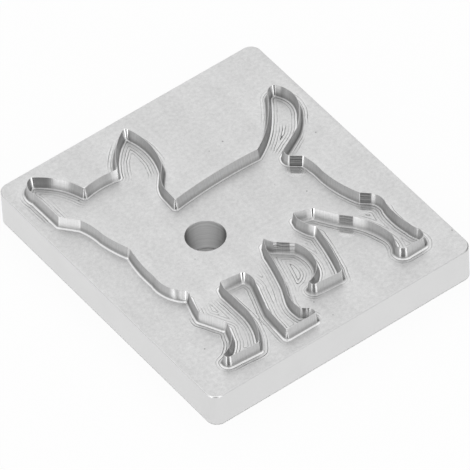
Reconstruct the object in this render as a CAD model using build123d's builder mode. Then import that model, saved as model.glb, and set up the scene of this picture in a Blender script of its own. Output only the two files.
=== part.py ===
# Leather cutting die: a flat steel plate with a raised steel blade standing on
# its top face, the blade following the outline of a standing animal.
import os
from cmath import phase
from math import cos, radians, sin, tan

from build123d import *

# All lengths are in millimetres, and +Z is up.
plate_width = 80.0
plate_length = 90.0
plate_thickness = 10.0
plate_corner_radius = 3.0
plate_edge_chamfer = 0.3
bore_diameter = 10.2
bore_position = (-8.9, -0.4)

blade_height = 3.2
blade_edge_flat = 0.1
blade_outer_taper = 8.0
blade_inner_taper = 11.0
outer_foot_radius = 0.5
inner_foot_radius = 0.15
foot_steps = 3
corner_radius_top = 0.9
corner_radius_foot = 0.6
corner_turn = 15.0
corner_room = 0.35
corner_share = 0.5
shortest_rounded = 2.0
smallest_rounding = 0.1
figure_height = 80.4

# Blade outline, drawn at its own scale and brought to the figure's height below
outline_start = (-32.4, 40.2)
outline = [
    # Near ear
    ((-27.6, 35.6), (-24.3, 28.8)),
    ((-19.4, 29.4), (-14.1, 28.8)),
    # Far ear
    ((-10.1, 34.9), (-4.4, 39.2)),
    ((-2.8, 31.5), (-4.7, 23.1)),
    # Nape
    ((-7.1, 20.3),),
    ((-8.4, 18.1), (-8.9, 15.5)),
    ((-9.1, 11.6),),
    # Back
    ((4.5, 12.7), (16.9, 12.4)),
    # Tail
    ((21.2, 15.2), (25.4, 19.2)),
    ((28.0, 22.4), (30.5, 26.1)),
    ((31.9, 27.4), (33.3, 27.5)),
    ((35.2, 23.6), (33.3, 16.8)),
    ((31.4, 14.3), (28.7, 11.9)),
    ((25.6, 10.2), (21.9, 8.3)),
    ((21.4, 7.0), (21.8, 5.6)),
    # Rump and far hind leg
    ((24.4, 3.4),),
    ((24.9, 0.6), (25.0, -3.5)),
    ((25.7, -9.1), (27.7, -15.3)),
    ((29.6, -17.1),),
    ((30.8, -19.5), (30.5, -22.3)),
    ((30.2, -26.0), (30.8, -30.9)),
    ((31.0, -32.6), (31.6, -34.0)),
    ((31.6, -35.4), (30.7, -37.0)),
    ((26.0, -37.1),),
    ((24.2, -36.4), (23.9, -34.7)),
    ((25.0, -32.5), (25.2, -29.5)),
    ((24.0, -25.2), (21.6, -20.7)),
    ((19.1, -17.9),),
    ((15.5, -12.1),),
    # Gap between the hind legs
    ((10.9, -10.3),),
    ((10.4, -12.4),),
    ((11.1, -15.0), (12.5, -17.6)),
    # Near hind leg
    ((11.3, -24.0), (9.6, -30.3)),
    ((8.3, -33.3),),
    ((1.0, -32.6),),
    ((0.0, -31.9), (0.0, -30.9)),
    ((3.6, -29.1), (5.3, -27.0)),
    ((6.1, -23.0), (5.1, -18.6)),
    ((1.1, -15.0),),
    # Belly
    ((-0.1, -12.5),),
    ((-1.6, -15.7),),
    # Far front leg
    ((-3.0, -21.6), (-4.6, -26.9)),
    ((-6.2, -30.4),),
    ((-7.1, -33.5), (-6.9, -36.6)),
    ((-5.2, -38.0),),
    ((-4.8, -38.8), (-4.9, -40.2)),
    ((-13.8, -40.1),),
    ((-13.5, -34.9), (-13.2, -31.4)),
    ((-10.4, -23.1),),
    ((-9.9, -20.4), (-10.8, -18.2)),
    # Near front leg
    ((-16.8, -17.3),),
    ((-17.4, -19.4),),
    ((-17.3, -27.9),),
    ((-18.2, -33.2), (-21.5, -39.1)),
    ((-29.5, -38.5),),
    ((-30.5, -37.9), (-30.5, -36.8)),
    ((-26.8, -34.9), (-24.9, -32.6)),
    ((-23.5, -28.8),),
    ((-26.9, -22.0),),
    ((-26.0, -18.4), (-24.8, -14.9)),
    # Chest and throat
    ((-27.7, -11.1), (-28.4, -5.6)),
    ((-28.3, 0.6), (-27.5, 5.6)),
    ((-29.0, 9.8), (-29.9, 14.0)),
    ((-30.4, 17.7), (-31.4, 20.8)),
    ((-34.9, 25.1),),
    ((-35.0, 35.3),),
    ((-34.4, 39.1), outline_start),
]

# Outline elements as complex numbers: start, point on the way, end
drawn_heights = [stretch[-1][1] for stretch in outline]
scale = figure_height / (max(drawn_heights) - min(drawn_heights))
elements = []
here = scale * complex(*outline_start)
for stretch in outline:
    there = scale * complex(*stretch[-1])
    way = scale * complex(*stretch[0]) if len(stretch) == 2 else None
    elements.append((here, way, there))
    here = there


def arc_centre(element):
    start, way, end = element
    ratio = (end - start) / (way - start)
    return start + (way - start) * (ratio - abs(ratio) ** 2) / (2j * ratio.imag)


# Distance of a point from an element, positive outside the outline, and the
# direction in which it grows
def distance(element, point):
    start, way, end = element
    if way is None:
        outward = 1j * (end - start) / abs(end - start)
        return ((point - start) / outward).real, outward
    centre = arc_centre(element)
    side = -1 if ((end - way) / (way - start)).imag > 0 else 1
    outward = side * (point - centre) / abs(point - centre)
    return side * (abs(point - centre) - abs(start - centre)), outward


# Point at the same distance from two neighbouring elements
def meeting_point(before, after, away):
    point = after[0]
    for _ in range(12):
        gap_before, out_before = distance(before, point)
        gap_after, out_after = distance(after, point)
        turn = (out_after / out_before).imag
        if abs(turn) < 0.15:
            middle = (out_before + out_after) / abs(out_before + out_after)
            point += middle * (away - (gap_before + gap_after) / 2)
        else:
            pull = (away - gap_after) * out_before - (away - gap_before) * out_after
            point += 1j * pull / turn
    return point


# Arc about a centre from one direction round to another: its two ends and its middle
def corner_arc(centre, reach, out_before, out_after):
    out_middle = (out_before + out_after) / abs(out_before + out_after)
    return centre + reach * out_before, centre + reach * out_middle, centre + reach * out_after


# How far an element can be shifted to a side before it shrinks to a point
def room_for_shift(element, side):
    start, way, end = element
    if way is None or side * ((end - way) / (way - start)).imag < 0:
        return plate_length
    return abs(start - arc_centre(element))


# Joint between two elements at a distance from the outline: where the first
# ends, the middle of the rounded corner if there is one, and where the next starts
def joint(before, after, away, radius):
    side = 1 if away > 0 else -1
    out_before = distance(before, after[0])[1]
    out_after = distance(after, after[0])[1]
    turn = side * phase(out_after / out_before)
    if turn < -radians(corner_turn):
        return corner_arc(after[0], away, out_before, out_after)
    if turn > radians(corner_turn):
        shorter = min(abs(before[2] - before[0]), abs(after[2] - after[0]))
        room = min(room_for_shift(before, side), room_for_shift(after, side))
        radius = min(radius, corner_room * shorter / tan(turn / 2) - widest_run)
        radius = min(radius, corner_share * (room - widest_run))
        radius = radius if shorter > shortest_rounded else 0
    if turn < radians(corner_turn) or radius < smallest_rounding:
        corner = meeting_point(before, after, away)
        return corner, None, corner
    centre = meeting_point(before, after, away + side * radius)
    out_before = distance(before, centre)[1]
    out_after = distance(after, centre)[1]
    return corner_arc(centre, -side * radius, out_before, out_after)


# Draw the outline shifted by a distance, its corners rounded
def draw_outline(away, radius):
    joints = [joint(elements[i - 1], elements[i], away, radius) for i in range(len(elements))]
    for i, element in enumerate(elements):
        arrive, middle, leave = joints[(i + 1) % len(elements)]
        start = joints[i][2]
        if element[1] is None:
            Line((start.real, start.imag), (arrive.real, arrive.imag))
        else:
            centre = arc_centre(element)
            spoke = start + arrive - 2 * centre
            if (spoke / (element[1] - centre)).real < 0:
                spoke = -spoke
            way = centre + spoke * abs(start - centre) / abs(spoke)
            ThreePointArc((start.real, start.imag), (way.real, way.imag), (arrive.real, arrive.imag))
        if middle is not None:
            ThreePointArc((arrive.real, arrive.imag), (middle.real, middle.imag), (leave.real, leave.imag))


# Half section of the blade: distance from the outline and height above the plate
def half_section(taper, foot_radius):
    base = blade_edge_flat / 2 + blade_height * tan(radians(taper))
    centre = base + foot_radius * (1 - sin(radians(taper))) / cos(radians(taper))
    steps = []
    for i in range(foot_steps + 1):
        angle = radians(90 + (taper - 90) * i / foot_steps)
        steps.append((centre - foot_radius * cos(angle), foot_radius * (1 - sin(angle))))
    return steps + [(blade_edge_flat / 2, blade_height)]


def corner_radius(rise):
    return corner_radius_foot + (corner_radius_top - corner_radius_foot) * rise / blade_height


outer_section = half_section(blade_outer_taper, outer_foot_radius)
inner_section = half_section(blade_inner_taper, inner_foot_radius)
widest_run = max(outer_section[0][0], inner_section[0][0])


# The blade as the difference of two stacks of lofted outlines
with BuildPart() as blade_outside:
    for run, rise in outer_section:
        with BuildSketch(Plane.XY.offset(plate_thickness + rise)):
            with BuildLine():
                draw_outline(run, corner_radius(rise))
            make_face()
    loft(ruled=True)

with BuildPart() as blade_inside:
    for run, rise in inner_section:
        with BuildSketch(Plane.XY.offset(plate_thickness + rise)):
            with BuildLine():
                draw_outline(-run, corner_radius(rise))
            make_face()
    loft(ruled=True)

# Plate with its blade and its round bore
with BuildPart() as die_plate:
    with BuildSketch():
        RectangleRounded(plate_width, plate_length, plate_corner_radius)
    extrude(amount=plate_thickness)
    chamfer(die_plate.faces().sort_by(Axis.Z)[-1].edges(), length=plate_edge_chamfer)
    add(blade_outside.part)
    add(blade_inside.part, mode=Mode.SUBTRACT)
    with Locations((bore_position[0], bore_position[1], plate_thickness / 2)):
        Cylinder(bore_diameter / 2, plate_thickness, mode=Mode.SUBTRACT)

os.makedirs("parts", exist_ok=True)
die_plate.part.label = "die_plate"
export_step(die_plate.part, "parts/die_plate.step")
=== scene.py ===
import math
from cmath import phase

import bpy
import numpy as np
from mathutils import Matrix, Vector
from mathutils.geometry import delaunay_2d_cdt
from mathutils.kdtree import KDTree


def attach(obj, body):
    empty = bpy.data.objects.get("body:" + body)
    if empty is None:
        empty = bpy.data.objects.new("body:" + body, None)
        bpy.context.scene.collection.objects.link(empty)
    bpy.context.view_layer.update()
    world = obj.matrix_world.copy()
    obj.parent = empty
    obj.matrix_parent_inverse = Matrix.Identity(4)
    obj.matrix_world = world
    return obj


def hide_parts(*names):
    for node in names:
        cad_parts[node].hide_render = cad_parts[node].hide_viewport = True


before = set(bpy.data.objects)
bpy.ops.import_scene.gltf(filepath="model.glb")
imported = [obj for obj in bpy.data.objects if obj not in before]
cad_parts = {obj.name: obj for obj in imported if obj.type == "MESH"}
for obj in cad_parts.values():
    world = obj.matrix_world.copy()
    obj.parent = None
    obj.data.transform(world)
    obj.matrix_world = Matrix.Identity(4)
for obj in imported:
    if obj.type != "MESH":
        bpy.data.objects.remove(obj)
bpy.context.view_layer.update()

# Sizes in millimetres, as on the CAD node
MM = 0.001
PLATE_WIDTH = 80.0
PLATE_LENGTH = 90.0
PLATE_TOP = 10.0
CORNER_RADIUS = 3.0
TOP_CHAMFER = 0.3
BORE_CENTRE = (-8.9, -0.4)
BORE_RADIUS = 5.1
BORE_CHAMFER = 0.12
BLADE_HEIGHT = 3.2
EDGE_FLAT = 0.1
OUTER_TAPER = 8.0
INNER_TAPER = 11.0
# Radius at the foot of each wall, and how far from the outline the wall's last row lies
OUTER_FOOT = 0.8
INNER_FOOT = 0.15
OUTER_RUN = 0.93
INNER_RUN = 0.79
WALL_STEPS = 6
FOOT_STEPS = 6
# Reach of the wider wall of the solid
WIDEST_RUN = 0.934
# Corners that turn further than this, in degrees, are rounded as far as there is room
CORNER_TURN = 15.0
CORNER_ROOM = 0.35
CORNER_SHARE = 0.5
SHORTEST_ROUNDED = 2.0
SMALLEST_ROUNDING = 0.1
CORNER_RADIUS_TOP = 0.9
CORNER_RADIUS_FOOT = 0.6
# Protruding corners: radius at the edge, and how much faster than the wall it grows below
TIP_RADIUS = 0.12
TIP_GROWTH = 0.35
# Spacing of points along the outline, and the steps round a corner
SAMPLE = 0.3
FEWEST_STEPS = 3
CORNER_STEPS = 6
# Hollow and protruding corners that show as folds, partly through a painted highlight:
# turn in degrees from which they do, and how clearly
FOLD_HOLLOW = (30.0, 1.0)
FOLD_SHARP = (60.0, 0.3)
# Outline distance given to points of the plate's sides, and with a minus to those of the bore
FAR_AWAY = 90.0

# Blade outline: end of each line, or point on the way and end of each arc
OUTLINE_START = (-32.4, 40.2)
OUTLINE = [
    ((-27.6, 35.6), (-24.3, 28.8)),
    ((-19.4, 29.4), (-14.1, 28.8)),
    ((-10.1, 34.9), (-4.4, 39.2)),
    ((-2.8, 31.5), (-4.7, 23.1)),
    ((-7.1, 20.3),),
    ((-8.4, 18.1), (-8.9, 15.5)),
    ((-9.1, 11.6),),
    ((4.5, 12.7), (16.9, 12.4)),
    ((21.2, 15.2), (25.4, 19.2)),
    ((28.0, 22.4), (30.5, 26.1)),
    ((31.9, 27.4), (33.3, 27.5)),
    ((35.2, 23.6), (33.3, 16.8)),
    ((31.4, 14.3), (28.7, 11.9)),
    ((25.6, 10.2), (21.9, 8.3)),
    ((21.4, 7.0), (21.8, 5.6)),
    ((24.4, 3.4),),
    ((24.9, 0.6), (25.0, -3.5)),
    ((25.7, -9.1), (27.7, -15.3)),
    ((29.6, -17.1),),
    ((30.8, -19.5), (30.5, -22.3)),
    ((30.2, -26.0), (30.8, -30.9)),
    ((31.0, -32.6), (31.6, -34.0)),
    ((31.6, -35.4), (30.7, -37.0)),
    ((26.0, -37.1),),
    ((24.2, -36.4), (23.9, -34.7)),
    ((25.0, -32.5), (25.2, -29.5)),
    ((24.0, -25.2), (21.6, -20.7)),
    ((19.1, -17.9),),
    ((15.5, -12.1),),
    ((10.9, -10.3),),
    ((10.4, -12.4),),
    ((11.1, -15.0), (12.5, -17.6)),
    ((11.3, -24.0), (9.6, -30.3)),
    ((8.3, -33.3),),
    ((1.0, -32.6),),
    ((0.0, -31.9), (0.0, -30.9)),
    ((3.6, -29.1), (5.3, -27.0)),
    ((6.1, -23.0), (5.1, -18.6)),
    ((1.1, -15.0),),
    ((-0.1, -12.5),),
    ((-1.6, -15.7),),
    ((-3.0, -21.6), (-4.6, -26.9)),
    ((-6.2, -30.4),),
    ((-7.1, -33.5), (-6.9, -36.6)),
    ((-5.2, -38.0),),
    ((-4.8, -38.8), (-4.9, -40.2)),
    ((-13.8, -40.1),),
    ((-13.5, -34.9), (-13.2, -31.4)),
    ((-10.4, -23.1),),
    ((-9.9, -20.4), (-10.8, -18.2)),
    ((-16.8, -17.3),),
    ((-17.4, -19.4),),
    ((-17.3, -27.9),),
    ((-18.2, -33.2), (-21.5, -39.1)),
    ((-29.5, -38.5),),
    ((-30.5, -37.9), (-30.5, -36.8)),
    ((-26.8, -34.9), (-24.9, -32.6)),
    ((-23.5, -28.8),),
    ((-26.9, -22.0),),
    ((-26.0, -18.4), (-24.8, -14.9)),
    ((-27.7, -11.1), (-28.4, -5.6)),
    ((-28.3, 0.6), (-27.5, 5.6)),
    ((-29.0, 9.8), (-29.9, 14.0)),
    ((-30.4, 17.7), (-31.4, 20.8)),
    ((-34.9, 25.1),),
    ((-35.0, 35.3),),
    ((-34.4, 39.1), OUTLINE_START),
]

# Its elements as complex numbers: start, point on the way, end
elements = []
here = complex(*OUTLINE_START)
for stretch in OUTLINE:
    there = complex(*stretch[-1])
    way = complex(*stretch[0]) if len(stretch) == 2 else None
    elements.append((here, way, there))
    here = there


def arc_centre(element):
    start, way, end = element
    ratio = (end - start) / (way - start)
    return start + (way - start) * (ratio - abs(ratio) ** 2) / (2j * ratio.imag)


def distance(element, point):
    """Distance of a point from an element, positive outside, and the outward direction."""
    start, way, end = element
    if way is None:
        outward = 1j * (end - start) / abs(end - start)
        return ((point - start) / outward).real, outward
    centre = arc_centre(element)
    side = -1 if ((end - way) / (way - start)).imag > 0 else 1
    outward = side * (point - centre) / abs(point - centre)
    return side * (abs(point - centre) - abs(start - centre)), outward


MEETING_ROUNDS = 12
NEARLY_STRAIGHT = 0.15


def meeting_point(before, after, away):
    """Point at the same distance from two neighbouring elements."""
    point = after[0]
    for _ in range(MEETING_ROUNDS):
        gap_before, out_before = distance(before, point)
        gap_after, out_after = distance(after, point)
        turn = (out_after / out_before).imag
        if abs(turn) < NEARLY_STRAIGHT:
            middle = (out_before + out_after) / abs(out_before + out_after)
            point += middle * (away - (gap_before + gap_after) / 2)
        else:
            pull = (away - gap_after) * out_before - (away - gap_before) * out_after
            point += 1j * pull / turn
    return point


def room_for_shift(element, side):
    """How far an element can be shifted to a side before it shrinks to a point."""
    start, way, end = element
    if way is None or side * ((end - way) / (way - start)).imag < 0:
        return PLATE_LENGTH
    return abs(start - arc_centre(element))


def joint(before, after, away, radius):
    """Where one element ends, the centre of the rounded corner if any, and where the next starts."""
    side = 1 if away > 0 else -1
    vertex = after[0]
    out_before = distance(before, vertex)[1]
    out_after = distance(after, vertex)[1]
    turn = side * phase(out_after / out_before)
    if turn < -math.radians(CORNER_TURN):
        spare = TIP_RADIUS + TIP_GROWTH * abs(away)
        centre = meeting_point(before, after, -side * spare)
        out_before = distance(before, centre)[1]
        out_after = distance(after, centre)[1]
        reach = away + side * spare
        return centre + reach * out_before, centre, centre + reach * out_after
    if turn > math.radians(CORNER_TURN):
        shorter = min(abs(before[2] - before[0]), abs(after[2] - after[0]))
        room = min(room_for_shift(before, side), room_for_shift(after, side))
        radius = min(radius, CORNER_ROOM * shorter / math.tan(turn / 2) - WIDEST_RUN)
        radius = min(radius, CORNER_SHARE * (room - WIDEST_RUN))
        radius = radius if shorter > SHORTEST_ROUNDED else 0
    if turn < math.radians(CORNER_TURN) or radius < SMALLEST_ROUNDING:
        corner = meeting_point(before, after, away)
        return corner, None, corner
    centre = meeting_point(before, after, away + side * radius)
    out_before = distance(before, centre)[1]
    out_after = distance(after, centre)[1]
    reach = side * radius
    return centre - reach * out_before, centre, centre - reach * out_after


def swing(start, end, centre, way, count):
    """Points on an arc from start towards end, without the end."""
    first = start - centre
    turn = phase((end - centre) / first)
    if way is not None:
        half = phase((way - centre) / first)
        if half * turn < 0:
            turn += 2 * math.pi if half > 0 else -2 * math.pi
    growth = abs(end - centre) / abs(first) - 1
    points = []
    for k in range(count):
        angle = turn * k / count
        points.append(centre + first * complex(math.cos(angle), math.sin(angle)) * (1 + growth * k / count))
    return points


element_counts = []
for element in elements:
    span = abs(element[2] - element[0])
    if element[1] is not None:
        span = abs(element[1] - element[0]) + abs(element[2] - element[1])
    element_counts.append(max(FEWEST_STEPS, int(span / SAMPLE)))


def fold_strength(i, away):
    """How clearly a corner shows as a fold of its own: hollow ones early, protruding ones when sharp."""
    before, after = elements[i - 1], elements[i]
    side = 1 if away > 0 else -1
    turn = side * phase(distance(after, after[0])[1] / distance(before, after[0])[1])
    needed, strength = FOLD_HOLLOW if turn > 0 else FOLD_SHARP
    return strength if abs(turn) > math.radians(needed) else 0.0


def ring(away, radius):
    """Closed ring at a distance from the outline: points, sharp corners, run along the edge, folds."""
    joints = [joint(elements[i - 1], elements[i], away, radius) for i in range(len(elements))]
    points, sharp, along, folds = [], [], [], []
    walked = 0.0
    for i, element in enumerate(elements):
        arrive, centre, leave = joints[(i + 1) % len(elements)]
        start = joints[i][2]
        count = element_counts[i]
        if element[1] is None:
            points += [start + (arrive - start) * k / count for k in range(count)]
        else:
            points += swing(start, arrive, arc_centre(element), element[1], count)
        out_before = distance(elements[i - 1], element[0])[1]
        out_after = distance(element, element[0])[1]
        bend = abs(phase(out_after / out_before)) > math.radians(CORNER_TURN)
        sharp += [bend and joints[i][1] is None] + [False] * (count - 1)
        span = abs(element[2] - element[0])
        along += [walked + span * k / count for k in range(count)]
        folds += [fold_strength(i, away) if joints[i][1] is not None else 0.0] + [0.0] * (count - 1)
        walked += span
        if centre is not None:
            folds += [fold_strength((i + 1) % len(elements), away)] * CORNER_STEPS
            points += swing(arrive, leave, centre, None, CORNER_STEPS)
            sharp += [False] * CORNER_STEPS
            along += [walked] * CORNER_STEPS
    return np.array(points), sharp, along, folds


def section(taper, foot_radius, last_run):
    """Half section of the blade, as (run, rise) from the edge down to the last run, and its reach."""
    slope = math.radians(taper)
    base = EDGE_FLAT / 2 + BLADE_HEIGHT * math.tan(slope)
    centre = base + foot_radius * (1 - math.sin(slope)) / math.cos(slope)
    wall_foot = foot_radius * (1 - math.sin(slope))
    levels = []
    for k in range(WALL_STEPS):
        rise = BLADE_HEIGHT + (wall_foot - BLADE_HEIGHT) * k / WALL_STEPS
        levels.append((EDGE_FLAT / 2 + (BLADE_HEIGHT - rise) * math.tan(slope), rise))
    last = math.acos(min(1, (centre - last_run) / foot_radius))
    for k in range(FOOT_STEPS + 1):
        angle = slope + (last - slope) * k / FOOT_STEPS
        levels.append((centre - foot_radius * math.cos(angle), foot_radius * (1 - math.sin(angle))))
    return levels, centre


outer_levels, outer_reach = section(OUTER_TAPER, OUTER_FOOT, OUTER_RUN)
inner_levels, inner_reach = section(INNER_TAPER, INNER_FOOT, INNER_RUN)


class Shell:
    """Vertices, faces and per-vertex values of one mesh."""

    def __init__(self):
        self.points = []
        self.faces = []
        self.slots = []
        self.sharp = set()
        self.edge_distance = []
        self.along = []
        self.folds = []

    def add(self, points, edge_distance, along=None, folds=None):
        """Adds points with their values and gives their numbers."""
        first = len(self.points)
        self.points += points
        self.edge_distance += edge_distance
        self.along += along if along else [0.0] * len(points)
        self.folds += folds if folds else [0.0] * len(points)
        return list(range(first, first + len(points)))

    def bridge(self, upper, lower, slot, flip=False):
        """Faces between two closed rows."""
        count = len(upper)
        for k in range(count):
            n = (k + 1) % count
            face = [upper[k], lower[k], lower[n], upper[n]]
            self.faces.append(face[::-1] if flip else face)
            self.slots.append(slot)

    def crease(self, row):
        """Makes a closed row a sharp edge."""
        for k in range(len(row)):
            self.sharp.add((row[k], row[(k + 1) % len(row)]))


FLOOR, WALL_OUT, WALL_IN, SIDE, BORE = range(5)
shell = Shell()


def blade_side(levels, sign, slot):
    """One wall of the blade, outside at sign 1 and inside at -1: its rows from the edge down."""
    rows = []
    for run, rise in levels:
        radius = CORNER_RADIUS_FOOT + (CORNER_RADIUS_TOP - CORNER_RADIUS_FOOT) * rise / BLADE_HEIGHT
        points, sharp, along, folds = ring(sign * run, radius)
        flat = [(p.real, p.imag, PLATE_TOP + rise) for p in points]
        rows.append(shell.add(flat, [sign * run] * len(flat), along, folds))
    for upper, lower in zip(rows, rows[1:]):
        shell.bridge(upper, lower, slot, flip=sign > 0)
        for k, corner in enumerate(sharp):
            if corner:
                shell.sharp.add((upper[k], lower[k]))
    shell.crease(rows[0])
    return rows


outer_rows = blade_side(outer_levels, 1, WALL_OUT)
inner_rows = blade_side(inner_levels, -1, WALL_IN)


def rounded_rectangle(inset, radius, step=2.0, corner_steps=10):
    """Points round the plate, anticlockwise seen from above."""
    width = PLATE_WIDTH / 2 - inset
    length = PLATE_LENGTH / 2 - inset
    points = []
    for quarter, (sx, sy) in enumerate(((1, 1), (-1, 1), (-1, -1), (1, -1))):
        centre = complex(sx * (width - radius), sy * (length - radius))
        for k in range(corner_steps + 1):
            angle = math.pi / 2 * (quarter + k / corner_steps)
            points.append(centre + radius * complex(math.cos(angle), math.sin(angle)))
        run = 2 * (length - radius) if quarter % 2 else 2 * (width - radius)
        along = 1j ** (quarter + 2)
        count = int(run / step)
        points += [points[-1] + along * run * k / count for k in range(1, count)]
    return points


# Inset and height of the rows down the sides: eased chamfer, side, eased bottom edge
SIDE_STEP = 1.9
SIDE_LEVELS = [
    (TOP_CHAMFER, PLATE_TOP),
    (TOP_CHAMFER * 0.35, PLATE_TOP - TOP_CHAMFER * 0.3),
    (0.0, PLATE_TOP - TOP_CHAMFER),
    *[(0.0, PLATE_TOP - TOP_CHAMFER - SIDE_STEP * k) for k in range(1, 5)],
    (0.0, 0.12),
    (0.06, 0.0),
]
side_rows = []
for inset, height in SIDE_LEVELS:
    around = rounded_rectangle(inset, CORNER_RADIUS - inset)
    side_rows.append(shell.add([(p.real, p.imag, height) for p in around], [FAR_AWAY] * len(around)))
for upper, lower in zip(side_rows, side_rows[1:]):
    shell.bridge(upper, lower, SIDE)

# Widening and height of the rows down the bore
BORE_LEVELS = [
    (BORE_CHAMFER, PLATE_TOP), (0, PLATE_TOP - BORE_CHAMFER), (0, 7.0), (0, 4.0),
    (0, BORE_CHAMFER), (BORE_CHAMFER, 0),
]
BORE_STEPS = 96
bore_rows = []
for wider, height in BORE_LEVELS:
    around = [
        complex(*BORE_CENTRE) + (BORE_RADIUS + wider) * complex(math.cos(a), math.sin(a))
        for a in np.linspace(0, 2 * math.pi, BORE_STEPS, endpoint=False)
    ]
    bore_rows.append(shell.add([(p.real, p.imag, height) for p in around], [-FAR_AWAY] * len(around)))
for upper, lower in zip(bore_rows, bore_rows[1:]):
    shell.bridge(upper, lower, BORE, flip=True)
for row in (*bore_rows[:2], *bore_rows[-2:], side_rows[0], side_rows[2], *side_rows[-2:]):
    shell.crease(row)


def inside(points, loop):
    """True for each point inside a closed loop."""
    x, y = points[:, 0], points[:, 1]
    result = np.zeros(len(points), bool)
    nxt = np.roll(loop, -1, 0)
    for (x0, y0), (x1, y1) in zip(loop, nxt):
        if y0 == y1:
            continue
        crosses = (y0 > y) != (y1 > y)
        result ^= crosses & (x < x0 + (y - y0) * (x1 - x0) / (y1 - y0))
    return result


# The outline itself as a loop of points
edge_loop = ring(1e-6, 0)[0]
edge_loop = np.stack([edge_loop.real, edge_loop.imag], -1)
edge_tree = KDTree(len(edge_loop))
for k, (x, y) in enumerate(edge_loop):
    edge_tree.insert((x, y, 0), k)
edge_tree.balance()


def edge_distances(points):
    """Distance of each point from the outline, positive outside."""
    nearest = np.array([edge_tree.find((x, y, 0))[1] for x, y in points])
    count = len(edge_loop)
    best = np.full(len(points), 1e9)
    for first in (nearest - 1, nearest):
        start = edge_loop[first % count]
        step = edge_loop[(first + 1) % count] - start
        t = np.clip(((points - start) * step).sum(-1) / (step ** 2).sum(-1), 0, 1)
        best = np.minimum(best, np.linalg.norm(points - start - t[:, None] * step, axis=1))
    return np.where(inside(points, edge_loop), -best, best)


def row_points(row):
    """A row of the shell in plan."""
    return np.array([shell.points[k][:2] for k in row])


# Distance between the rows of a triangular grid and its random shift, as shares of the step
ROW_SHARE = 0.87
JITTER = 0.12


def grid(step, seed):
    """Triangular grid over the plate, slightly shaken."""
    rng = np.random.default_rng(seed)
    xs = np.arange(-PLATE_WIDTH / 2 + step, PLATE_WIDTH / 2, step)
    ys = np.arange(-PLATE_LENGTH / 2 + step, PLATE_LENGTH / 2, step * ROW_SHARE)
    gx, gy = np.meshgrid(xs, ys)
    gx = gx + (np.arange(len(ys)) % 2)[:, None] * step / 2
    points = np.stack([gx.ravel(), gy.ravel()], -1)
    return points + rng.uniform(-JITTER, JITTER, points.shape) * step


def fill(rows, extra, keep, height, slot):
    """Triangles between closed rows of the shell, with extra points in between."""
    fixed = [k for row in rows for k in row]
    coords = [Vector(shell.points[k][:2]) for k in fixed] + [Vector(p) for p in extra]
    edges = []
    first = 0
    for row in rows:
        edges += [(first + k, first + (k + 1) % len(row)) for k in range(len(row))]
        first += len(row)
    verts, _, faces, origins, _, _ = delaunay_2d_cdt(coords, edges, [], 0, 1e-7)
    flat = np.array([v[:] for v in verts])
    centres = np.array([flat[list(f)].mean(0) for f in faces])
    gaps = edge_distances(flat)
    index = {}
    for new, old in enumerate(origins):
        known = [k for k in old if k < len(fixed)]
        if known:
            index[new] = fixed[known[0]]
    for new in range(len(flat)):
        if new not in index:
            point = (flat[new, 0], flat[new, 1], height(gaps[new]))
            index[new] = shell.add([point], [gaps[new]])[0]
    for face, good in zip(faces, keep(centres)):
        if good:
            shell.faces.append([index[k] for k in face])
            shell.slots.append(slot)


def floor_height(gap):
    """Height of the floor at a distance from the outline, rising at the foot of the blade."""
    reach, radius = (outer_reach, OUTER_FOOT) if gap > 0 else (inner_reach, INNER_FOOT)
    short = max(0.0, reach - abs(gap))
    return PLATE_TOP + radius - math.sqrt(radius ** 2 - min(short, radius) ** 2)


outer_foot = row_points(outer_rows[-1])
inner_foot = row_points(inner_rows[-1])
plate_rim = row_points(side_rows[0])
bore_rim = row_points(bore_rows[0])


def on_floor(points):
    outside = inside(points, plate_rim) & ~inside(points, outer_foot)
    within = inside(points, inner_foot) & ~inside(points, bore_rim)
    return outside | within


# Rows of floor points at these distances from the outline
FOLLOWING = (-0.9, -1.03, -1.16, -1.28, -1.4, 1.0, 1.1, 1.22, 1.3, 1.4)
# Scattered floor points: spacing, and the distances from the outline between which it holds
SPACINGS = [(0.22, 1.5, 1.7), (0.5, 1.7, 6.5), (1.2, 6.5, 99)]
BORE_CLEARANCE = 0.4
RIM_CLEARANCE = 0.8


def floor_points():
    """Scattered floor points, closer together near the blade."""
    chosen = []
    for seed, (step, nearest, furthest) in enumerate(SPACINGS, 1):
        points = grid(step, seed)
        gaps = np.abs(edge_distances(points))
        chosen.append(points[(gaps >= nearest) & (gaps < furthest)])
    for away in FOLLOWING:
        row = ring(away, CORNER_RADIUS_FOOT)[0]
        chosen.append(np.stack([row.real, row.imag], -1))
    points = np.concatenate(chosen)
    points = points[on_floor(points)]
    x, y = points[:, 0], points[:, 1]
    bore_gap = np.hypot(x - BORE_CENTRE[0], y - BORE_CENTRE[1]) - BORE_RADIUS
    rim_gap = np.minimum(PLATE_WIDTH / 2 - np.abs(x), PLATE_LENGTH / 2 - np.abs(y))
    return points[(bore_gap > BORE_CLEARANCE) & (rim_gap > RIM_CLEARANCE)]


# The floor
floor_rows = [side_rows[0], outer_rows[-1], inner_rows[-1], bore_rows[0]]
fill(floor_rows, floor_points(), on_floor, floor_height, FLOOR)

# The narrow flat along the blade's edge
outer_edge = row_points(outer_rows[0])
inner_edge = row_points(inner_rows[0])
fill([outer_rows[0], inner_rows[0]], [], lambda p: inside(p, outer_edge) & ~inside(p, inner_edge),
     lambda gap: PLATE_TOP + BLADE_HEIGHT, WALL_OUT)

# The underside
underside_rim = row_points(side_rows[-1])
underside_bore = row_points(bore_rows[-1])
first_under = len(shell.faces)
fill([side_rows[-1], bore_rows[-1]], [], lambda p: inside(p, underside_rim) & ~inside(p, underside_bore),
     lambda gap: 0.0, SIDE)
for k in range(first_under, len(shell.faces)):
    shell.faces[k] = shell.faces[k][::-1]

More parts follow.
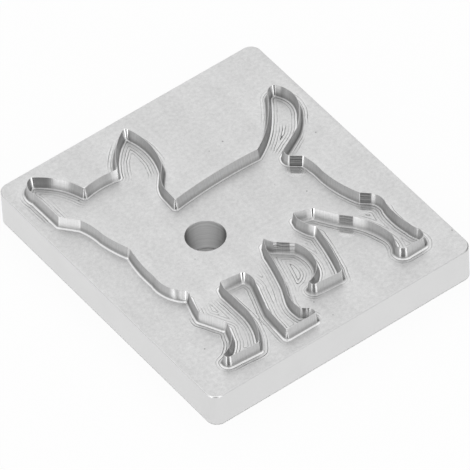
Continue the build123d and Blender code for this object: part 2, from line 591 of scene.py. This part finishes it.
mesh = bpy.data.meshes.new("cutting_die")
mesh.from_pydata([(x * MM, y * MM, z * MM) for x, y, z in shell.points], [], shell.faces)
mesh.polygons.foreach_set("material_index", shell.slots)
mesh.shade_smooth()
sharp_edges = mesh.attributes.new("sharp_edge", "BOOLEAN", "EDGE")
wanted = {tuple(sorted(pair)) for pair in shell.sharp}
sharp_edges.data.foreach_set("value", [tuple(sorted(e.vertices)) in wanted for e in mesh.edges])


def add_layer(name, values):
    """A value for each vertex, for the materials."""
    layer = mesh.attributes.new(name, "FLOAT", "POINT")
    layer.data.foreach_set("value", np.array(values, np.float32))


add_layer("edge_distance", shell.edge_distance)
add_layer("along", shell.along)
add_layer("fold", shell.folds)
mesh.update()
mesh.validate()
die = bpy.data.objects.new("cutting_die", mesh)
bpy.context.scene.collection.objects.link(die)
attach(die, "root")
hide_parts("die_plate")

# Where the small cutter's passes show on the floor: centre, reach, and how far from
# the outline they go inside and outside it
MARKED = [
    (-31.0, 33.0, 9.0, 3.7, 2.9), (-7.0, 31.5, 8.5, 3.7, 2.6), (33.0, 22.0, 9.0, 2.3, 2.4),
    (26.0, 13.0, 6.0, 6.0, 2.4), (26.0, -31.0, 13.0, 6.0, 2.6), (25.5, -15.0, 7.5, 2.6, 2.0),
    (14.5, -20.0, 8.0, 6.0, 2.4), (7.5, -27.0, 9.0, 6.0, 2.6), (1.0, -22.0, 8.5, 6.0, 5.2),
    (-9.0, -30.0, 12.0, 6.0, 2.6), (-23.0, -31.0, 13.0, 6.0, 2.6),
]
# Over what distance they fade at the reach, inside and outside, and between which two they begin
REACH_FADE = 2.5
INSIDE_FADE = 0.4
OUTSIDE_FADE = 0.3
MARKS_START = (1.0, 1.2)
# Distance of the first pass from the outline, and from one pass to the next
PASS_START = 1.25
PASS_STEP = 0.72
# The painted highlight on the foot is full left of and in front of these limits, along the throat and the
# chest and under the feet, and only this much elsewhere
GLEAM_LEFT = (-24, -20)
GLEAM_FRONT = (-37, -34)
GLEAM_ELSEWHERE = 0.1


def ramp01(value, low, high):
    """Smooth step between two values."""
    t = np.clip((value - low) / (high - low), 0, 1)
    return t * t * (3 - 2 * t)


spots = np.array(shell.points)
gaps = np.array(shell.edge_distance)
marks = np.zeros(len(spots))
for x, y, reach, inside_end, outside_end in MARKED:
    mark = 1 - ramp01(np.hypot(spots[:, 0] - x, spots[:, 1] - y), reach - REACH_FADE, reach)
    mark *= 1 - ramp01(gaps, outside_end - OUTSIDE_FADE, outside_end)
    mark *= 1 - ramp01(-gaps, inside_end - INSIDE_FADE, inside_end)
    marks = np.maximum(marks, mark)
add_layer("marks", marks * ramp01(np.abs(gaps), *MARKS_START))
gleam = np.maximum(1 - ramp01(spots[:, 0], *GLEAM_LEFT), 1 - ramp01(spots[:, 1], *GLEAM_FRONT))
add_layer("gleam", GLEAM_ELSEWHERE + (1 - GLEAM_ELSEWHERE) * gleam)

# Bearing of the side the photograph is taken from, and the direction towards it
LENS_SIDE = math.radians(-124.3)
TOWARDS_LENS = (math.cos(LENS_SIDE), math.sin(LENS_SIDE), 0.0)
AWAY_FROM_LENS = (-math.cos(LENS_SIDE), -math.sin(LENS_SIDE), 0.0)


class Nodes:
    """Adds nodes to one node tree."""

    def __init__(self, tree):
        self.tree = tree
        self.place = None

    def node(self, kind, inputs=(), **settings):
        node = self.tree.nodes.new(kind)
        for key, value in settings.items():
            setattr(node, key, value)
        for socket, value in dict(inputs).items():
            if isinstance(value, bpy.types.NodeSocket):
                self.tree.links.new(value, node.inputs[socket])
            else:
                node.inputs[socket].default_value = value
        return node

    def math(self, operation, *values, clamp=False):
        node = self.node("ShaderNodeMath", enumerate(values), operation=operation, use_clamp=clamp)
        return node.outputs[0]

    def vector(self, operation, *values):
        node = self.node("ShaderNodeVectorMath", enumerate(values), operation=operation)
        return node.outputs["Value" if operation in ("DOT_PRODUCT", "DISTANCE") else "Vector"]

    def split(self, vector):
        return self.node("ShaderNodeSeparateXYZ", {"Vector": vector}).outputs

    def attribute(self, name):
        return self.node("ShaderNodeAttribute", attribute_name=name).outputs["Fac"]

    def outward(self):
        return self.node("ShaderNodeNewGeometry").outputs["Normal"]

    def position(self, scale=(1, 1, 1), turn=0.0):
        """Place on the object in millimetres."""
        if self.place is None:
            self.place = self.node("ShaderNodeTexCoord").outputs["Object"]
        mapping = self.node("ShaderNodeMapping", {"Vector": self.place})
        mapping.inputs["Scale"].default_value = [k / MM for k in scale]
        mapping.inputs["Rotation"].default_value = (0, 0, math.radians(turn))
        return mapping.outputs["Vector"]

    def remap(self, value, low, high, first, last):
        """Goes from the first to the last level as a value goes from low to high."""
        inputs = {"Value": value, 1: low, 2: high, 3: first, 4: last}
        return self.node("ShaderNodeMapRange", inputs).outputs[0]

    def ramp(self, value, stops):
        """Grey level that follows (place, level) stops."""
        node = self.node("ShaderNodeValToRGB", {"Fac": value})
        stages = node.color_ramp.elements
        while len(stages) < len(stops):
            stages.new(1.0)
        for stage, (place, level) in zip(stages, stops):
            stage.position = place
            stage.color = (level, level, level, 1)
        return node.outputs["Color"]

    def around(self, place, near, far, first, last, scale=(1, 1, 1)):
        """Goes from the first to the last level between two distances from a place."""
        return self.remap(self.vector("DISTANCE", self.position(scale), place), near, far, first, last)

    def noise(self, scale, detail=2.0, stretch=(1, 1, 1), turn=0.0):
        """Noise about zero, from about -0.5 to 0.5."""
        inputs = {"Vector": self.position(stretch, turn), "Scale": scale, "Detail": detail}
        return self.math("SUBTRACT", self.node("ShaderNodeTexNoise", inputs).outputs["Fac"], 0.5)

    def stripes(self, value, scale, detail):
        """Noise that changes with one value only, from about zero to one."""
        inputs = {"W": value, "Scale": scale, "Detail": detail}
        return self.node("ShaderNodeTexNoise", inputs, noise_dimensions="1D").outputs["Fac"]

    def uneven(self, tone, layers):
        """Tone with noise on it: layers of scale, detail and amount."""
        for scale, detail, amount in layers:
            tone = self.math("MULTIPLY_ADD", self.noise(scale, detail), amount, tone)
        return tone


class Look(Nodes):
    """One material and the nodes that vary it."""

    def __init__(self, name, colour, roughness, metallic=1.0):
        self.material = bpy.data.materials.new(name)
        self.material.use_nodes = True
        super().__init__(self.material.node_tree)
        self.shader = self.tree.nodes["Principled BSDF"]
        self.shader.inputs["Metallic"].default_value = metallic
        self.shader.inputs["Roughness"].default_value = roughness
        self.shader.inputs["Base Color"].default_value = (colour, colour, colour, 1)

    def set(self, socket, value):
        self.tree.links.new(value, self.shader.inputs[socket])

    def colour(self, tone, half_shade):
        """Colour from a tone and half of the factor of painted light and shade on it."""
        shade = self.math("MULTIPLY", half_shade, 2.0)
        self.set("Base Color", self.math("MULTIPLY", tone, shade, clamp=True))

    def facing(self, low, high):
        """Zero to one as the surface turns to the lens side, between two cosines."""
        return self.remap(self.vector("DOT_PRODUCT", self.outward(), TOWARDS_LENS), low, high, 0.0, 1.0)

    def gleam(self, distance):
        """Painted highlight along the outside foot where it faces the lens side."""
        lit = self.math("MULTIPLY", self.ramp(distance, FOOT_GLEAM), self.attribute("gleam"))
        return self.math("MULTIPLY", lit, self.facing(*GLEAM_FACING))

    def bump(self, height, distance, normal=None):
        """Height in millimetres."""
        node = self.node("ShaderNodeBump", {"Height": height, "Distance": distance * MM})
        if normal is not None:
            self.tree.links.new(normal, node.inputs["Normal"])
        self.set("Normal", node.outputs["Normal"])


# Painted highlight along the outside foot: by the distance from the outline, the cosines between
# which it comes as the surface turns to the lens side, and its strength
FOOT_GLEAM = [(0.0, 0.0), (0.66, 0.0), (0.78, 1.0), (0.95, 1.0)]
GLEAM_FACING = (0.02, 0.14)
GLEAM = 0.62

# Floor: tone, layers of unevenness, and the broad bands of the first, wide cutter
FLOOR_TONE = 0.697
FLOOR_UNEVEN = [(0.14, 4.0, 0.10), (1.0, 4.0, 0.24), (3.0, 3.0, 0.17)]
BAND_STRETCH = (0.25, 0.014, 1)
BAND_TURN = 6.0
BAND_AMOUNT = 0.10
# Passes of the small cutter: brightness across one pass, a fine groove with a light bank,
# how strongly it shows, how far its line wavers, and how its depth changes along the way
PASS_PROFILE = [(0.0, 0.0), (0.12, 0.0), (0.22, 0.66), (0.4, 0.58), (0.6, 0.5), (0.9, 0.5), (1.0, 0.0)]
PASS_AMOUNT = 0.68
PASS_WAVER = (0.35, 2.0, 0.6)
PASS_STRETCH = (0.09, 0.09, 1.0)
PASS_SHIFT = 5.3
PASS_NOISE = (0.36, 0.66)
PASS_DEPTH = (0.2, 1.7)
# Painted highlight and shade on the floor along the foot of the blade: inside at minus, outside at plus
# distances
FOOT_SPAN = 1.8
FLOOR_FOOT = [
    (-1.6, 1.0), (-1.4, 1.08), (-1.27, 0.78), (-1.16, 0.8), (-1.03, 1.36), (-0.75, 1.36),
    (0.9, 0.8), (1.0, 0.92), (1.22, 1.0), (1.3, 0.9), (1.4, 1.03), (1.5, 1.0),
]
# Painted light: the floor is brighter near the walls, by this factor, fading between two distances
NEAR_WALLS = 1.06
NEAR_SPAN = (1.2, 4.5)
# Small dark pits scattered over the floor, and which share of them is deep
PIT_SCALE = 0.2
PIT_REACH = 0.06
PIT_LUCK = (0.35, 0.75)
PIT_DEPTH = 0.6
# Roughness, smoother round some places in front of the walls that face the lens side
FLOOR_ROUGHNESS = 0.42
ROUGHNESS_UNEVEN = [(0.6, 3.0, 0.1)]
POLISHED = [(22.1, 3.1, 10.0), (19.5, -20.8, 10.0), (27.8, -17.6, 10.0)]
POLISHED_SPAN = (1.8, 3.2)
POLISH = 0.3
# Relief: how much the passes and the grain weigh in it, and its depth
PASS_RELIEF = 0.3
GRAIN_SCALE = (3.0, 3.0)
GRAIN_RELIEF = 0.03
FLOOR_RELIEF = 0.1


def floor_look():
    look = Look("milled_floor", FLOOR_TONE, FLOOR_ROUGHNESS)
    m = look.math
    signed = look.attribute("edge_distance")
    gap = m("ABSOLUTE", signed)
    count = m("DIVIDE", m("SUBTRACT", gap, PASS_START), PASS_STEP)
    count = look.uneven(count, [PASS_WAVER])
    profile = look.ramp(m("FRACT", count), PASS_PROFILE)
    along = look.split(look.position(PASS_STRETCH))
    number = m("MULTIPLY", m("FLOOR", count), PASS_SHIFT)
    lane = look.node("ShaderNodeCombineXYZ", {"X": along["X"], "Y": along["Y"], "Z": number}).outputs[0]
    depth = look.node("ShaderNodeTexNoise", {"Vector": lane, "Scale": 1.0, "Detail": 1.0}).outputs["Fac"]
    depth = look.remap(depth, *PASS_NOISE, *PASS_DEPTH)
    line = m("MULTIPLY", m("MULTIPLY", m("SUBTRACT", profile, 0.5), depth), look.attribute("marks"))

    tone = look.uneven(FLOOR_TONE, FLOOR_UNEVEN)
    tone = m("MULTIPLY_ADD", look.noise(1.0, 2.0, BAND_STRETCH, BAND_TURN), BAND_AMOUNT, tone)
    tone = m("MULTIPLY_ADD", line, PASS_AMOUNT, tone)
    pits = look.node("ShaderNodeTexVoronoi", {"Vector": look.position(), "Scale": PIT_SCALE})
    pit = look.remap(pits.outputs["Distance"], 0.0, PIT_REACH, 1.0, 0.0)
    luck = look.node("ShaderNodeSeparateColor", {"Color": pits.outputs["Color"]}).outputs[0]
    tone = m("SUBTRACT", tone, m("MULTIPLY", pit, look.remap(luck, *PIT_LUCK, 0.0, PIT_DEPTH)))
    # Painted light on the floor near the walls
    tone = m("MULTIPLY", tone, look.remap(gap, *NEAR_SPAN, NEAR_WALLS, 1.0))

    # Painted highlight and shade along the foot, with the painted highlight of the outside foot added
    across = m("MULTIPLY_ADD", signed, 1 / (2 * FOOT_SPAN), 0.5)
    half_shade = look.ramp(across, [(0.5 + g / (2 * FOOT_SPAN), level / 2) for g, level in FLOOR_FOOT])
    lit = m("MULTIPLY", look.gleam(signed), m("ADD", look.noise(0.25, 1.0), 1.0))
    look.colour(tone, m("MULTIPLY_ADD", lit, GLEAM / 2, half_shade))

    rough = look.uneven(FLOOR_ROUGHNESS, ROUGHNESS_UNEVEN)
    for place in POLISHED:
        rough = m("SUBTRACT", rough, look.around(place, *POLISHED_SPAN, POLISH, 0.0))
    look.set("Roughness", rough)
    grain = m("MULTIPLY", look.noise(*GRAIN_SCALE), GRAIN_RELIEF)
    look.bump(m("MULTIPLY_ADD", line, PASS_RELIEF, grain), FLOOR_RELIEF)
    return look.material


# Blade walls: roughness, layers of unevenness, and upright chatter: scale, detail, amount, relief
WALL_ROUGHNESS = 0.3
WALL_UNEVEN = [(0.5, 3.0, 0.06), (2.0, 2.0, 0.12)]
CHATTER = (3.2, 2.0)
CHATTER_AMOUNT = 0.17
CHATTER_RELIEF = 0.004
# Rounded corners: how much lighter (a painted highlight), smoother and further bent upward they are than
# the walls
FOLD_TONE = 0.25
FOLD_POLISH = -0.17
FOLD_LIFT = 0.2
# How far the ground walls bend their reflections upward
HOLLOW = 0.4
# Painted dark reflection in level streaks: cosines between which a wall that faces the lens
# side takes it on, the places that have streaks, their reach, their waver and scale, and their levels
STREAKED = (0.95, 0.965)
STREAK_SPOTS = [(23.1, 4.5, 11.6), (20.3, -19.3, 11.6), (3.0, -17.0, 11.6), (28.6, -16.2, 11.6)]
STREAK_REACH = 3.5
STREAK_WAVER = (0.6, 2.0, 0.8)
STREAK_SCALE = (2.2, 2.0)
STREAK_NOISE = (0.35, 0.65)
STREAK_LEVELS = (-0.55, 0.1)
# Elsewhere such a wall is darker by this share, a painted dark reflection
CORE_DARK = -0.25
# Walls ground a little aside: places in plan, reaches and fades
PLAN = (1, 1, 0)
TURNED = [
    ((-25.3, -13.6, 0.0), 2.5, 0.8), ((4.9, -18.4, 0.0), 1.5, 0.6), ((0.9, -15.1, 0.0), 1.2, 0.5),
    ((-7.0, -37.0, 0.0), 0.42, 0.1), ((-5.95, -37.85, 0.0), 0.4, 0.1), ((-5.45, -38.25, 0.0), 0.3, 0.1),
]
TURN_ASIDE = (-0.2, 0.137, 0.0)
# Painted shade on the walls round a few places: places in plan, reaches and fades
PAINTED_SHADE_SPOTS = [((34.2, 26.2, 0.0), 2.0, 1.0)]
PAINTED_SHADE_TONE = 0.72
# Painted shade down the walls to their feet, and on the inside a painted highlight along the foot, by the
# distance from the outline
OUTER_SHADE = [
    (0.0, 1.02), (0.25, 1.0), (0.317, 0.94), (0.373, 0.82), (0.44, 0.66), (0.6, 0.58),
    (0.72, 0.74), (0.8, 0.8), (0.95, 0.8),
]
INNER_SHADE = [(0.0, 1.0), (0.4, 1.0), (0.56, 0.75), (0.65, 0.6), (0.7, 1.0), (0.74, 1.66), (0.9, 1.66)]


def wall_look(name, colour, shade, gleams):
    look = Look(name, colour, WALL_ROUGHNESS)
    m = look.math
    chatter = look.stripes(look.attribute("along"), *CHATTER)
    fold = look.attribute("fold")
    tone = m("MULTIPLY_ADD", m("SUBTRACT", chatter, 0.5), CHATTER_AMOUNT, colour)
    tone = look.uneven(tone, WALL_UNEVEN)
    # Painted highlight on the rounded corners
    tone = m("MULTIPLY_ADD", fold, FOLD_TONE, tone)

    # Painted dark reflection on walls that face the lens side, streaked near some places
    height = look.uneven(look.split(look.position())["Z"], [STREAK_WAVER])
    streaks = look.remap(look.stripes(height, *STREAK_SCALE), *STREAK_NOISE, *STREAK_LEVELS)
    near = 0.0
    for place in STREAK_SPOTS:
        off = look.vector("DISTANCE", look.position(), place)
        near = m("MAXIMUM", near, m("LESS_THAN", off, STREAK_REACH))
    plain = m("MULTIPLY", m("SUBTRACT", 1.0, near), CORE_DARK)
    streaks = m("MULTIPLY", m("MULTIPLY_ADD", streaks, near, plain), look.facing(*STREAKED))
    tone = m("MULTIPLY", tone, m("ADD", streaks, 1.0))
    # Painted shade on the walls round these places
    for place, reach, fade in PAINTED_SHADE_SPOTS:
        tone = m("MULTIPLY", tone, look.around(place, reach - fade, reach, PAINTED_SHADE_TONE, 1.0, PLAN))

    gap = m("ABSOLUTE", look.attribute("edge_distance"))
    # Painted shade and highlight by the distance from the outline
    half_shade = look.ramp(gap, [(g, level / 2) for g, level in shade])
    if gleams:
        half_shade = m("MULTIPLY_ADD", look.gleam(gap), GLEAM / 2, half_shade)
    look.colour(tone, half_shade)
    look.set("Roughness", m("MULTIPLY_ADD", fold, FOLD_POLISH, WALL_ROUGHNESS))

    rise = look.node("ShaderNodeCombineXYZ", {"Z": m("MULTIPLY_ADD", fold, FOLD_LIFT, HOLLOW)}).outputs[0]
    bent = look.vector("ADD", look.outward(), rise)
    for place, reach, fade in TURNED:
        share = look.around(place, reach - fade, reach, 1.0, 0.0, PLAN)
        bent = look.vector("ADD", bent, look.vector("MULTIPLY", TURN_ASIDE, share))
    look.bump(chatter, CHATTER_RELIEF, bent)
    look.set("Tangent", look.node("ShaderNodeCombineXYZ", {"Z": 1.0}).outputs[0])
    look.shader.inputs["Anisotropic"].default_value = 1.0
    return look.material


# Sides of the plate: tone and its unevenness, and a painted highlight on the chamfer's line,
# lighter towards the left, between these two parts of the outward direction
SIDE_TONE = 0.73
SIDE_ROUGHNESS = 0.35
SIDE_UNEVEN = [(0.12, 3.0, 0.05)]
RIM_TONE = 0.2
RIM_FACING = (-0.6, 0.0)
RIM_FADE = 0.02


def sides_look():
    look = Look("plate_sides", SIDE_TONE, SIDE_ROUGHNESS)
    height = look.split(look.position())["Z"]
    leftward = look.split(look.outward())["X"]
    rim = PLATE_TOP - TOP_CHAMFER
    # Painted highlight on the chamfer, by the way it faces
    edge = look.remap(leftward, *RIM_FACING, RIM_TONE, 0.0)
    upper = look.remap(height, rim - RIM_FADE, rim + RIM_FADE, 0.0, 1.0)
    tone = look.math("MULTIPLY_ADD", edge, upper, SIDE_TONE)
    look.set("Base Color", look.uneven(tone, SIDE_UNEVEN))
    return look.material


# Bore: tone and its unevenness, level rings, and how far it bends its reflections upward
BORE_TONE = 0.44
BORE_ROUGHNESS = 0.3
BORE_UNEVEN = [(0.4, 3.0, 0.06)]
RING_WAVER = (0.25, 2.0, 1.2)
RING_SCALE = (1.6, 3.0)
RING_AMOUNT = 0.17
RING_RELIEF = 0.01
BORE_LIFT = 3.0
# Painted shade round the bore, darkest at its flanks and lightest on the part away from the lens side
BORE_SHADE = [(0.0, 0.1), (0.4, 0.14), (0.6, 0.3), (0.75, 0.52), (0.86, 0.66), (1.0, 0.72)]


def bore_look():
    look = Look("bore_wall", BORE_TONE, BORE_ROUGHNESS)
    m = look.math
    height = look.uneven(look.split(look.position())["Z"], [RING_WAVER])
    rings = look.stripes(height, *RING_SCALE)
    tone = m("MULTIPLY_ADD", m("SUBTRACT", rings, 0.5), RING_AMOUNT, BORE_TONE)
    tone = look.uneven(tone, BORE_UNEVEN)
    # Painted shade by the direction away from the lens side
    spoke = look.vector("SUBTRACT", look.position(), (*BORE_CENTRE, 0.0))
    depth = look.vector("DOT_PRODUCT", spoke, AWAY_FROM_LENS)
    look.colour(tone, look.ramp(m("DIVIDE", depth, BORE_RADIUS), BORE_SHADE))
    look.bump(rings, RING_RELIEF, look.vector("ADD", look.outward(), (0.0, 0.0, BORE_LIFT)))
    return look.material


# In the order of the shell's slots
mesh.materials.append(floor_look())
mesh.materials.append(wall_look("blade_outer", 0.65, OUTER_SHADE, True))
mesh.materials.append(wall_look("blade_inner", 0.6, INNER_SHADE, False))
mesh.materials.append(sides_look())
mesh.materials.append(bore_look())

# Surroundings: the brightness follows the bearing from the lens side in degrees, as in a
# photo tent with two lamps, and evens out to one with height
ROUND = [
    (-180, 1.0), (-160, 0.95), (-137, 0.36), (-123, 0.52), (-108, 0.42), (-94, 0.54), (-79, 0.64),
    (-65, 0.66), (-50, 0.7), (-48, 2.1), (-29, 2.1), (-27, 0.1), (18, 0.1), (20, 2.1), (40, 2.1),
    (44, 0.62), (62, 0.85), (75, 0.5), (80, 0.2), (108, 0.1), (137, 0.13), (160, 0.9), (180, 1.0),
]
ROUND_RANGE = 4.0
BAND = [(0.0, 1.0), (0.5, 1.0), (0.7, 0.0), (1.0, 0.0)]
world = bpy.data.worlds.new("studio")
bpy.context.scene.world = world
world.use_nodes = True
sky = Nodes(world.node_tree)
direction = sky.node("ShaderNodeTexCoord").outputs["Generated"]
inputs = {"Vector": direction, "Angle": -LENS_SIDE}
turned = sky.node("ShaderNodeVectorRotate", inputs, rotation_type="Z_AXIS").outputs[0]
parts = sky.split(turned)
bearing = sky.math("DIVIDE", sky.math("ARCTAN2", parts["Y"], parts["X"]), math.pi)
bearing = sky.math("MULTIPLY_ADD", bearing, 0.5, 0.5)
brightness = sky.ramp(bearing, [(0.5 + angle / 360, value / ROUND_RANGE) for angle, value in ROUND])
above_one = sky.math("SUBTRACT", sky.math("MULTIPLY", brightness, ROUND_RANGE), 1.0)
strength = sky.math("MULTIPLY_ADD", sky.ramp(parts["Z"], BAND), above_one, 1.0)
background = world.node_tree.nodes["Background"]
background.inputs["Color"].default_value = (1, 1, 1, 1)
world.node_tree.links.new(strength, background.inputs["Strength"])

# Ground: pale paper, white to the camera outside the plate, with the plate's shadow on it
GROUND_HALF = 3
GROUND_DROP = 0.0001
PAPER_TONE = 0.97
PAPER_ROUGHNESS = 0.6
PAPER_GLOW = 0.92
ground_mesh = bpy.data.meshes.new("ground")
corners = [(x * GROUND_HALF, y * GROUND_HALF, 0) for x, y in ((-1, -1), (1, -1), (1, 1), (-1, 1))]
ground_mesh.from_pydata(corners, [], [(0, 1, 2, 3)])
ground = bpy.data.objects.new("ground", ground_mesh)
bpy.context.scene.collection.objects.link(ground)
ground.location.z = -GROUND_DROP
paper = Look("ground", PAPER_TONE, PAPER_ROUGHNESS, metallic=0.0)
rays = paper.node("ShaderNodeLightPath").outputs
seen = paper.math("MAXIMUM", rays["Is Camera Ray"], rays["Is Glossy Ray"])
seen = paper.math("MAXIMUM", seen, rays["Is Transmission Ray"])
spot = paper.split(paper.position())
past = []
for axis, half in (("X", PLATE_WIDTH / 2), ("Y", PLATE_LENGTH / 2)):
    excess = paper.math("SUBTRACT", paper.math("ABSOLUTE", spot[axis]), half - CORNER_RADIUS)
    past.append(paper.math("POWER", paper.math("MAXIMUM", excess, 0.0), 2.0))
beyond = paper.math("SQRT", paper.math("ADD", *past))
clear = paper.math("GREATER_THAN", beyond, CORNER_RADIUS)
share = paper.math("MULTIPLY", paper.math("MULTIPLY", seen, clear), PAPER_GLOW)
glow = paper.node("ShaderNodeEmission", {"Strength": 1.0})
mix = paper.node("ShaderNodeMixShader", {0: share, 1: paper.shader.outputs[0], 2: glow.outputs[0]})
paper.tree.links.new(mix.outputs[0], paper.tree.nodes["Material Output"].inputs["Surface"])
ground_mesh.materials.append(paper.material)

# Camera at the photograph's angle: focal length and frame in pixels, angles in radians,
# the point it looks at and its distance from it in millimetres
FOCAL_PIXELS = 7933.577
FRAME_PIXELS = 470
YAW, PITCH, ROLL = -0.598934184, 0.825361789, -0.0620650200
TARGET = Vector((-3.11821695, -5.01187012, PLATE_TOP))
DISTANCE = 1952.2067
SENSOR_WIDTH = 36
FARTHEST = 10
back = Vector((math.sin(YAW) * math.cos(PITCH), -math.cos(YAW) * math.cos(PITCH), math.sin(PITCH)))
sideways = Vector((math.cos(YAW), math.sin(YAW), 0))
rise = back.cross(sideways)
right = math.cos(ROLL) * sideways + math.sin(ROLL) * rise
up = -math.sin(ROLL) * sideways + math.cos(ROLL) * rise
half_pixel = 0.5 * DISTANCE / FOCAL_PIXELS
place = TARGET + back * DISTANCE - right * half_pixel + up * half_pixel
camera_data = bpy.data.cameras.new("camera")
camera = bpy.data.objects.new("camera", camera_data)
bpy.context.scene.collection.objects.link(camera)
camera_data.sensor_width = SENSOR_WIDTH
camera_data.lens = SENSOR_WIDTH * FOCAL_PIXELS / FRAME_PIXELS
camera_data.clip_end = FARTHEST
camera.matrix_world = Matrix.Translation(place * MM) @ Matrix((right, up, back)).transposed().to_4x4()
bpy.context.scene.camera = camera
bpy.context.scene.view_settings.view_transform = "Standard"
